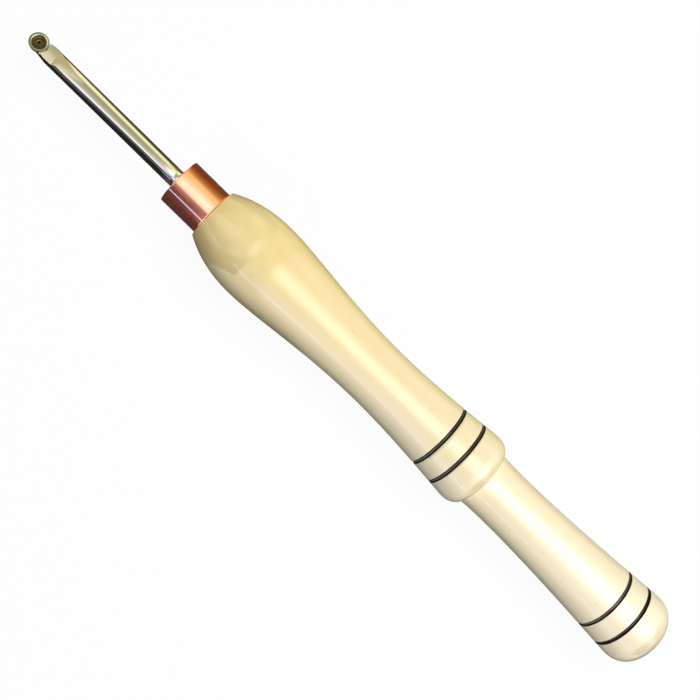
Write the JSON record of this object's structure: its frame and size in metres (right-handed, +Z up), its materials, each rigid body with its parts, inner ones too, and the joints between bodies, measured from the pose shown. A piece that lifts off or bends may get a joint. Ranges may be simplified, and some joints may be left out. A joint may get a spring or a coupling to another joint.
{
  "type": "hollowing tool",
  "caption": "Woodturner's hollowing tool: round steel bar with a round indexable cutter on a milled nose, copper ferrule and turned hardwood handle.",
  "frame": {"origin": "on the surface that the tool lies on, under the middle of its length", "axes": "+X along the tool towards the cutter, +Z up out of the cutter's face, +Y to the tool's left"},
  "size_m": [0.4388, 0.045, 0.0449],
  "materials": {
    "maple": "clear gloss lacquer over pale maple, four burnt grooves",
    "copper": "polished copper tube",
    "stainless": "polished stainless bar",
    "carbide": "ground and sintered carbide",
    "screw_steel": "plated socket screw"
  },
  "bodies": {
    "tool": {"handle": "maple", "ferrule": "copper", "tool_bar": "stainless"},
    "insert": {"cutter_insert": "carbide"},
    "screw": {"cutter_screw": "screw_steel"}
  },
  "joints": [
    {"name": "cutter_index", "type": "hinge", "parent": "tool", "child": "insert", "pos_m": [0.21445, 0, 0.02484], "axis": [0, 0, 1], "continuous": true},
    {"name": "screw_back_out", "type": "slide", "parent": "tool", "child": "screw", "axis": [0, 0, 1], "range_m": [0, 0.0027]}
  ]
}
